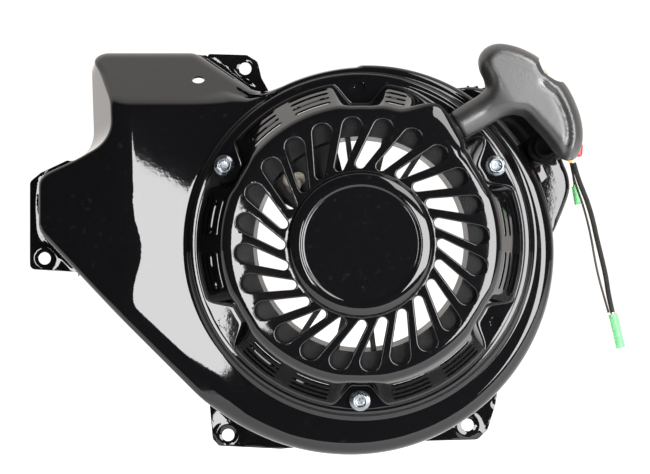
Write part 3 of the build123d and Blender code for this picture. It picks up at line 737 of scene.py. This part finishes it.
def starter_case():
    angles = np.arange(360.0)
    angles[72], angles[80] = 72.5, 80.5
    turn = np.radians(angles)
    compass = np.column_stack([np.cos(turn), np.sin(turn)])
    off = np.min([np.abs((angles - p + 180) % 360 - 180) for p in POCKETS], axis=0)
    pocket = smooth_step(-off, -10.5, -3.0)
    # the boss that the rope comes out of ends in a flat wall
    wall = smooth_min(BOSS_WALL / np.maximum(np.cos(turn - PULL_ANGLE), 0.3), np.full(360, 95.8), 4.0)
    boss = smooth_step(angles, 41.5, 45.5) * smooth_step(-angles, -75, -60)
    foot = (CASE_FOOT - 13.2 * pocket) * (1 - boss) + (wall + 0.3) * boss
    top = (CASE_TOP - 1.4 * pocket) * (1 - boss) + wall * boss

    rows = []

    def row(radius, height):
        radius = np.broadcast_to(radius, len(angles))
        rows.append(np.column_stack([compass * radius[:, None], np.broadcast_to(height, len(angles))]))

    def side_row(t):
        """A row that share of the way up the case's side."""
        row(foot - 0.2 + (top - foot + 0.2) * t, SIDE_LOW + SIDE_RISE * t)

    for radius, height in ((101.3, COLLAR_TOP), (101.55, 64.5), (101.35, 65.0), (FLANGE_R, FLANGE_TOP)):
        row(radius, height)
    for t in np.linspace(0, 1, 9)[1:]:
        row(FLANGE_R + (foot + 1.8 - FLANGE_R) * t, FLANGE_TOP)
    for offset, height in ((1.1, 65.35), (0.55, 65.75), (0.15, 66.4), (-0.2, SIDE_LOW)):
        row(foot + offset, height)
    louvre_rows = []
    for k, r in enumerate(LOUVRE_EDGES):
        if k % 2 == 0:
            louvre_rows.append(len(rows))
        side_row((CASE_SKIRT - r) / (CASE_SKIRT - CASE_TOP))
    side_row(0.93)
    # a curve from the side to the slotted face
    for t in np.linspace(0, 1, 10):
        reach = top - FACE_R
        weights = ((1 - t) ** 3, 3 * t * (1 - t) ** 2, 3 * t * t * (1 - t), t**3)
        offsets = (0, -0.18 * reach, -0.45 * reach, -reach)
        heights = (97.4, 100.4, 101.7, float(face_height(FACE_R)))
        offset, height = (sum(w * v for w, v in zip(weights, values)) for values in (offsets, heights))
        row(top + offset, height)

    starts = [ray + side for ray in (0, 120, 180, 240, 300) for side in (-18, 3)]
    spans = [(start % 360, 15) for start in starts] + [(72, 8)]
    sheet = Sheet()
    faces = []
    for face in grid_faces(len(rows), 360):
        j, k = divmod(face[0], 360)
        if j in louvre_rows and any((k - start) % 360 < span for start, span in spans):
            continue
        faces.append(face)
    # round the ends of the louvres
    for j in louvre_rows:
        for start, span in spans:
            for k in (start, (start + span) % 360):
                low, high = rows[j][k].copy(), rows[j + 1][k].copy()
                rows[j][k] = low + 0.28 * (high - low)
                rows[j + 1][k] = high + 0.28 * (low - high)
    sheet.add([tuple(p) for r in rows for p in r], faces)

    # the slots, with rolled rims
    loops = [rows[-1][:, :2]]
    for k in range(SLOTS):
        far, near = polar(70.0, 4.4 + SLOT_TURN * k), polar(47.9, 15.4 + SLOT_TURN * k)
        rim = []
        for a in np.radians((0, 18, 36, 54, 72, 90)):
            wider = SLOT_RIM * (1 - sin(a))
            outline = hull(far, 5.6 + wider, near, 2.8 + wider)
            height = face_height(np.hypot(*outline.T)) - SLOT_RIM * (1 - cos(a))
            rim.append(np.column_stack([outline, height]))
        loops.append(rim[0][:, :2])
        rim.append(rim[-1] - np.array((0, 0, 1.4)))
        sheet.rows(rim)
    centre = [polar(CAP_R, 2 * k) for k in range(180)]
    loops.append(np.array(centre))
    seeds = [polar(r, a) for r in np.arange(46.0, 76.5, 2.5) for a in np.arange(0.0, 360.0, 2.5)]
    sheet.flat(loops, lambda x, z: face_height(np.hypot(x, z)), seeds)
    # the cap
    sheet.rows([[(*polar(r, 2 * k), height) for k in range(180)] for r, height in CAP_PROFILE])
    last_r, last_height = CAP_PROFILE[-1]
    sheet.add([(*polar(last_r, 2 * k), last_height) for k in range(180)], [tuple(range(180))])
    obj = sheet.build("starter_case_shell", CASE_PAINT, "housing")
    for angle in POCKETS:
        pierce(obj, polar(BOLT_CIRCLE, angle), PIN_HOLE_R, lambda x, z: FLANGE_TOP, 1.4)
    thicken(obj, SHEET_T)
    soften(obj, 0.3, 2, 40)
    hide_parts("starter_case")


starter_case()


# ------- bolts
HEAD_R = 5.1  # over the hexagon's corners
# radius, height and how far the outline is the hexagon there
BOLT_PROFILE = (
    (2.9, 55.5, 0), (2.9, 65.2, 0), (6.2, 65.2, 0), (6.45, 65.5, 0), (6.4, 66.1, 0), (6.0, 66.45, 0),
    (5.3, 66.9, 0.1), (4.9, 67.2, 0.85), (0, 67.5, 1), (0, 70.1, 1), (4.55, 70.75, 0.75), (4.15, 71.05, 0.3),
    (3.7, 71.1, 0), (3.3, 70.9, 0), (2.9, 70.55, 0), (1.2, 70.5, 0),
)


def hexagon(across, angle, turn):
    """Radius of a hexagon, that wide over its corners, in that direction."""
    inside_angle = (angle - turn) % (pi / 3) - pi / 6
    return across * cos(pi / 6) / cos(inside_angle)


def flange_bolts():
    sheet = Sheet()
    for place_angle in BOLTED:
        x, z = polar(BOLT_CIRCLE, place_angle)
        turns = np.radians(np.arange(0, 360, 5))
        turn = radians(place_angle * 1.7)
        hexed = np.array([hexagon(HEAD_R, a, turn) for a in turns])
        rows = []
        for radius, height, share in BOLT_PROFILE:
            radii = (1 - share) * radius + share * hexed
            if 0 < share < 1:
                radii = np.minimum(radii, hexed)
            heights = np.full(len(turns), height)
            rows.append(np.column_stack([x + radii * np.cos(turns), z + radii * np.sin(turns), heights]))
        sheet.rows(rows)
        for row, order in ((rows[0], -1), (rows[-1], 1)):
            sheet.add([tuple(p) for p in row], [tuple(range(len(turns)))[::order]])
    obj = sheet.build("flange_bolts", ZINC, "housing")
    soften(obj, 0.12, 2, 30)
    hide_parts("starter_bolts")


flange_bolts()

# ------- handle and rope
ROPE_HEIGHT = 84.0
PULL = np.array((cos(PULL_ANGLE), sin(PULL_ANGLE)))
ACROSS = np.array((-sin(PULL_ANGLE), cos(PULL_ANGLE)))


def on_handle(u, v, w):
    """A point given along the pull, across it and towards the front."""
    x, z = EXIT + PULL * u + ACROSS * v
    return (x, z, ROPE_HEIGHT + w)


STEM_R, STEM_END, STEM_TOP = 9.25, 1.6, 14
# the grip's outline from the stem's one side to its other, along the pull and across it
GRIP = (
    (STEM_TOP, -STEM_R), (22, -9.3), (28, -9.6), (34, -11.6), (38.4, -15.6), (40.2, -22.8), (42.6, -34),
    (44.2, -46), (47.9, -51.9), (53.6, -53.1), (59.6, -49), (64.6, -42), (68.2, -33), (70.2, -22),
    (70.3, -11.5), (67.4, -4.5), (64.9, 1), (65.1, 8.5), (62, 15.5), (56, 23.5), (48, 30.2), (40.2, 31.7),
    (33.6, 28.6), (30.3, 22.4), (29.3, 15.2), (26.9, 10.6), (21, 9.3), (STEM_TOP, STEM_R),
)


def smooth_path(points, steps=8):
    """A smooth line through the points."""
    points = np.array(points, float)
    padded = np.vstack([2 * points[0] - points[1], points, 2 * points[-1] - points[-2]])
    result = []
    for a, b, c, d in zip(padded, padded[1:], padded[2:], padded[3:]):
        for t in np.linspace(0, 1, steps, endpoint=False):
            square, cube = 2 * a - 5 * b + 4 * c - d, 3 * b - a - 3 * c + d
            result.append(0.5 * (2 * b + (c - a) * t + square * t**2 + cube * t**3))
    result.append(points[-1])
    return np.array(result)


def distance_to(points, line):
    """Distance of each point from a broken line."""
    a, b = line[:-1], line[1:]
    run = b - a
    best = np.full(len(points), 1e9)
    for start, along in zip(a, run):
        t = np.clip((points - start) @ along / max(along @ along, 1e-9), 0, 1)
        best = np.minimum(best, np.hypot(*(points - start - t[:, None] * along).T))
    return best


def grip_half(points, edge, outer):
    """Half of the grip's thickness at each point."""
    u = points[:, 0]
    body = smooth_step(u, 19, 38)
    full, roll = STEM_R + 4.6 * body, STEM_R - 1.6 * body
    near = np.clip(distance_to(points, edge) / roll, 0, 1)
    half = full * np.sqrt(np.maximum(1 - (1 - near) ** 2, 0))
    # a groove along the outer edge, and a ridge beside it
    beside = distance_to(points, outer)
    fade = smooth_step(-points[:, 1], 0, 8) * smooth_step(points[:, 1], -52, -44)
    half -= 1.3 * fade * np.exp(-(((beside - 10.2) / 1.5) ** 2))
    half += 0.5 * fade * np.exp(-(((beside - 6.8) / 1.6) ** 2))
    return half * (1 - 0.14 * smooth_step(-u, -3.2, -STEM_END))


def handle_grip():
    path = smooth_path(GRIP)
    stem = np.arange(STEM_END, STEM_TOP, 1.4)
    line = np.vstack([[(u, -STEM_R) for u in stem], path, [(u, STEM_R) for u in stem[::-1]]])
    edge = np.vstack([[(-20, -STEM_R)], path, [(-20, STEM_R)]])
    outer = path[(path[:, 0] > 58) & (path[:, 1] < -5)]
    end = [(STEM_END, v) for v in np.linspace(STEM_R, -STEM_R, 20)[1:-1]]
    loop = np.vstack([line, end])
    along = np.gradient(line, axis=0)
    across = np.column_stack([-along[:, 1], along[:, 0]])
    across /= np.linalg.norm(across, axis=1)[:, None]
    seeds = []
    for depth in (0.12, 0.45, 1.0, 1.8, 2.8, 4.0, 5.4):
        ring = line + across * depth
        clear = distance_to(ring, edge) > depth * 0.97
        seeds.extend(ring[clear & (ring[:, 0] > STEM_END + 0.4)])
    grid = np.array([(u, v) for u in np.arange(2.4, 71, 1.3) for v in np.arange(-54, 33, 1.3)])
    grid = grid[distance_to(grid, edge) > 6.2]
    seeds.extend(p for p in grid if inside(p, loop))
    fill = Sheet()
    fill.flat([loop], 0.0, seeds)
    flat = np.array([p[:2] for p in fill.points])
    half = grip_half(flat, edge, outer)
    squeeze = 1 - 0.1 * smooth_step(-flat[:, 0], -3.2, -STEM_END)
    sheet = Sheet()
    for sign in (1, -1):
        points = [on_handle(u, v * q, sign * h) for (u, v), q, h in zip(flat, squeeze, half)]
        sheet.add(points, [face[::sign] for face in fill.faces])
    # the stem's end
    rim = [i for i, p in enumerate(flat) if abs(p[0] - STEM_END) < 1e-4]
    rim.sort(key=lambda i: flat[i][1])
    count = len(flat)
    sheet.faces.extend((a, b, b + count, a + count) for a, b in zip(rim, rim[1:]))
    obj = sheet.build("handle_grip_moulded", HANDLE_PLASTIC, "handle")
    recess(obj)
    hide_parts("handle_grip")


def recess(obj):
    """Cuts the pocket for the knot into the outer edge of the grip."""
    corners = rounded([(-9.5, -8.5, 5), (9.5, -8.5, 5), (9.5, 11, 4), (-9.5, 11, 4)])
    rows = []
    for u, share in ((55, 0.8), (55.4, 0.9), (56.4, 0.97), (58, 1), (90, 1)):
        rows.append([on_handle(u, v * share, w * share) for v, w in corners])
    cutter = Sheet()
    cutter.rows(rows)
    count = len(corners)
    cutter.faces.append(tuple(range(count))[::-1])
    cutter.faces.append(tuple(range(len(cutter.points) - count, len(cutter.points))))
    tool = cutter.build("cutter", HANDLE_PLASTIC, "handle")
    for shape in (obj, tool):
        bm = bmesh.new()
        bm.from_mesh(shape.data)
        bmesh.ops.recalc_face_normals(bm, faces=bm.faces)
        bm.to_mesh(shape.data)
        bm.free()
    cut = obj.modifiers.new("recess", "BOOLEAN")
    cut.object = tool
    cut.operation = "DIFFERENCE"
    cut.solver = "EXACT"
    bpy.context.view_layer.update()
    made = bpy.data.meshes.new_from_object(obj.evaluated_get(bpy.context.evaluated_depsgraph_get()))
    obj.modifiers.clear()
    obj.data = made
    dress(obj, HANDLE_PLASTIC)
    bpy.data.objects.remove(tool)
    for polygon in made.polygons:
        polygon.use_smooth = True
    soften(obj, 0.5, 2, 50)


handle_grip()


def tube(name, path, radius, material, sides, strands, swell):
    """A rope along a path of points in metres, with its strands standing out."""
    path = np.array(path, float)
    along = np.gradient(path, axis=0)
    along /= np.linalg.norm(along, axis=1)[:, None]
    up = np.array((0.0, -1.0, 0.0))
    points = []
    travelled = np.r_[0, np.cumsum(np.linalg.norm(np.diff(path, axis=0), axis=1))]
    side = np.cross(along[0], up)
    for middle, direction, way in zip(path, along, travelled):
        side = side - direction * (side @ direction)
        side /= np.linalg.norm(side)
        other = np.cross(direction, side)
        for k in range(sides):
            a = 2 * pi * k / sides
            bulge = 1 + swell * cos(strands * a + way / MM * 0.9) * cos(strands * a - way / MM * 0.9)
            points.append(tuple(middle + radius * bulge * (cos(a) * side + sin(a) * other)))
    faces = grid_faces(len(path), sides)
    faces.append(tuple(range(sides))[::-1])
    faces.append(tuple(range((len(path) - 1) * sides, len(path) * sides)))
    mesh = bpy.data.meshes.new(name)
    mesh.from_pydata(points, [], faces)
    for polygon in mesh.polygons:
        polygon.use_smooth = True
    return linked(name, mesh, material)


def pull_rope():
    # from the reel to the boss, then along the pull into the handle
    bend = smooth_path([(34.0, 67.9), (45.0, 68.9), (52.5, 69.6), tuple(EXIT + PULL * 1.0)], 6)[:-1]
    run = [tuple(EXIT + PULL * u) for u in np.arange(1.0, 56.0, 1.0)]
    path = [place(x, z, ROPE_HEIGHT) for x, z in [*map(tuple, bend), *run]]
    obj = tube("starter_rope", path, 2.45 * MM, ROPE, 20, 5, 0.07)
    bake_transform(obj)
    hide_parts("pull_rope")


pull_rope()


def knot(name, centre, size, body, node):
    """An overhand knot pulled tight."""
    points = []
    for t in np.linspace(0, 2 * pi, 72, endpoint=False):
        x = (sin(t) + 2 * sin(2 * t)) / 3
        z = (cos(t) - 2 * cos(2 * t)) / 3
        points.append((centre[0] + size * x, centre[1] + size * z, centre[2] - 0.55 * size * sin(3 * t)))
    points.append(points[0])
    obj = tube(name, [place(*p) for p in points], 0.42 * size * MM, ROPE, 14, 4, 0.08)
    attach(obj, body)
    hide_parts(node)


knot("reel_knot", (*polar(55.2, 137), 85.5), 5.2, "reel", "reel_rope_knot")
knot("handle_knot", on_handle(59.4, 0, 0), 3.8, "handle", "handle_rope_knot")

# ------- switch
SWITCH = (113.4, 59.6)


LEVER_TURN, LEVER_TOP = radians(-5.0), 64.0
LEVER = [
    (-5.6, -5.0, 4.6), (2, -5.6, 4), (6.5, -2.4, 2), (17.5, -2.2, 1.5), (19, -4.4, 1.2), (23.4, -4.0, 1.8),
    (23.4, 4.0, 1.8), (19, 4.4, 1.2), (17.5, 2.2, 1.5), (6.5, 2.4, 2), (2, 5.6, 4), (-5.6, 5.0, 4.6),
]
LEVER_PROFILE = (
    (0.7, 59.6), (0.15, 59.9), (0, 60.5), (0, 62.6), (0.25, 63.4), (0.8, 63.9), (1.5, LEVER_TOP),
)
HUB_PROFILE = (
    (6.6, 57.9), (6.9, 58.6), (6.9, 64.0), (6.6, 64.5), (5.9, 64.8), (5.2, 64.9), (4.6, 64.7), (4.2, 64.4),
)


def switch_lever():
    def turned(x, z):
        along, across = cos(LEVER_TURN), sin(LEVER_TURN)
        return (SWITCH[0] + x * along - z * across, SWITCH[1] + x * across + z * along)

    outline = rounded(LEVER)
    across = inward(outline)
    rows = []
    for depth, height in LEVER_PROFILE:
        rows.append([(*turned(*p), height) for p in outline + across * depth])
    sheet = Sheet()
    sheet.rows(rows)
    sheet.flat([np.array([p[:2] for p in rows[-1]])], LEVER_TOP)
    lever = sheet.build("switch_lever", RED_PLASTIC, "switch_knob")
    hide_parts("switch_knob")
    hub = Sheet()
    turns = np.linspace(0, 2 * pi, 40, endpoint=False)
    hub.rows([[(SWITCH[0] + r * cos(a), SWITCH[1] + r * sin(a), h) for a in turns] for r, h in HUB_PROFILE])
    hub.faces.append(tuple(range(len(hub.points) - len(turns), len(hub.points))))
    hub.build("switch_hub", SWITCH_PLASTIC, "switch_knob")


switch_lever()

# ------- leads
SLEEVE_ROUTE = (
    (132.7, 50.2, 51.0), (134.4, 43.8, 51.2), (137.2, 36.0, 51.0),
    (141.3, 26.4, 50.4), (144.8, 15.0, 49.6), (147.4, 3.2, 48.8),
    (150.5, -8.8, 48.2), (153.3, -20.8, 47.8), (154.9, -32.4, 47.6),
    (157.3, -42.6, 47.6),
)
WIRE_ROUTE = (
    (131.2, 50.6, 47.4), (132.6, 43.4, 47.2), (135.0, 35.4, 47.0),
    (138.6, 25.8, 46.6), (141.9, 14.4, 46.0), (144.6, 2.4, 45.6),
    (146.6, -9.8, 45.4), (149.3, -22.0, 45.2), (152.6, -33.6, 45.0),
    (155.2, -42.8, 45.2),
)
SHORT_ROUTE = (
    (121.8, 52.4, 49.5), (126.4, 54.4, 47.6), (130.8, 53.6, 43.0), (133.6, 48.6, 39.0), (134.2, 42.6, 36.6),
    (135.2, 37.2, 36.0),
)


def lead(name, route, radius, material, node):
    curve = bpy.data.curves.new(name, "CURVE")
    curve.dimensions = "3D"
    curve.bevel_depth = radius * MM
    curve.bevel_resolution = 4
    curve.resolution_u = 10
    curve.use_fill_caps = True
    spline = curve.splines.new("NURBS")
    spline.points.add(len(route) - 1)
    for point, (x, z, height) in zip(spline.points, route):
        point.co = (*place(x, z, height), 1)
    spline.order_u = 3
    spline.use_endpoint_u = True
    obj = linked(name, curve, material)
    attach(obj, "housing")
    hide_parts(node)


lead(
    "sleeved_lead", SLEEVE_ROUTE, 1.55, SLEEVE, "lead_sleeve",
)
lead(
    "black_lead", WIRE_ROUTE, 0.7, WIRE_BLACK, "lead_wire",
)
lead(
    "short_black_lead", SHORT_ROUTE, 0.7, WIRE_BLACK, "short_lead",
)

SOFTENED = (
    "switch_body", "switch_nut", "rope_guide", "centre_screw", "reel", "ratchet_guide", "ratchet_1",
    "ratchet_2", "weld_nuts",
)
for name in SOFTENED:
    soften(nodes[name], 0.4, 2, 40)

# ------- surroundings
FLOOR_Z, FLOOR_FRONT, FLOOR_HALF = -0.30, -0.7, 6.0
SOFTBOX_POWER = 17.0
DARK_ROOM, BRIGHT_TENT = (0.03, 0.03, 0.032, 1), (1, 0.955, 0.92, 1)


def surroundings():
    """A bright tent behind and above, and a dark room in front and below."""
    world = bpy.data.worlds.new("studio")
    scene.world = world
    world.use_nodes = True
    tree = world.node_tree
    background = tree.nodes["Background"]
    direction = new_node(tree, "ShaderNodeTexCoord").outputs["Generated"]
    parts = new_node(tree, "ShaderNodeSeparateXYZ", Vector=direction).outputs
    ramp = new_node(tree, "ShaderNodeValToRGB")
    for element, position, color in zip(ramp.color_ramp.elements, (0.0, 1.0), (DARK_ROOM, BRIGHT_TENT)):
        element.position = position
        element.color = color
    above = new_node(tree, "ShaderNodeMath")
    above.operation = "MULTIPLY_ADD"
    above.use_clamp = True
    above.inputs[1].default_value = 0.55
    above.inputs[2].default_value = 0.0
    tree.links.new(parts["Z"], above.inputs[0])
    total = new_node(tree, "ShaderNodeMath")
    total.operation = "ADD"
    tree.links.new(above.outputs[0], total.inputs[0])
    tree.links.new(parts["Y"], total.inputs[1])
    shift = new_node(tree, "ShaderNodeMapRange", Value=total.outputs[0], From_Min=-0.02, From_Max=0.5)
    tree.links.new(shift.outputs["Result"], ramp.inputs["Fac"])
    tree.links.new(ramp.outputs["Color"], background.inputs["Color"])
    background.inputs["Strength"].default_value = 1.12


def floor():
    paper, paler = (0.92, 0.92, 0.92), (0.95, 0.95, 0.95)
    made = Shader("floor_paper", paper, 0.9, Emission_Color=(1, 1, 1, 1), Emission_Strength=0.6)
    made.link(made.mix_color(made.noise(6.0), paper, paler), "Base Color")
    made.link(made.bump(made.noise(300.0), 0.05, 0.0005), "Normal")
    mesh = bpy.data.meshes.new("floor")
    left, right, front, back = -FLOOR_HALF, FLOOR_HALF, FLOOR_FRONT, FLOOR_HALF
    corners = [(x, y, FLOOR_Z) for x, y in ((left, front), (right, front), (right, back), (left, back))]
    mesh.from_pydata(corners, [], [(0, 1, 2, 3)])
    linked("floor", mesh, made.material)


def glow(name, corners, strength):
    """A flat softbox, seen in reflections and not by the camera."""
    made = bpy.data.materials.new(name)
    made.use_nodes = True
    tree = made.node_tree
    tree.nodes.remove(tree.nodes["Principled BSDF"])
    light = tree.nodes.new("ShaderNodeEmission")
    light.inputs["Strength"].default_value = strength
    tree.links.new(light.outputs[0], tree.nodes["Material Output"].inputs["Surface"])
    mesh = bpy.data.meshes.new(name)
    mesh.from_pydata(corners, [], [tuple(range(len(corners)))])
    obj = linked(name, mesh, made)
    obj.visible_camera = False


surroundings()
floor()
# beside the camera; the left one's outline gives its reflection the shape that it has in the photo
LEFT_SOFTBOX = ((-0.300, 0.130), (-0.140, 0.030), (-0.140, -0.157), (-0.168, -0.177), (-0.300, -0.265))
RIGHT_SOFTBOX = ((0.262, -0.30), (1.2, -0.38), (1.2, 0.42), (0.262, 0.24))
glow("left_softbox", [(x, -EYE_DISTANCE, z) for x, z in LEFT_SOFTBOX], SOFTBOX_POWER)
glow("right_softbox", [(x, -EYE_DISTANCE, z) for x, z in RIGHT_SOFTBOX], 15.0)
glow("top_softbox", [(0.30, -1.0, 0.45), (1.0, -1.0, 0.45), (1.0, -0.6, 1.1), (0.30, -0.6, 1.1)], 9.0)

scene.view_settings.view_transform = "Standard"
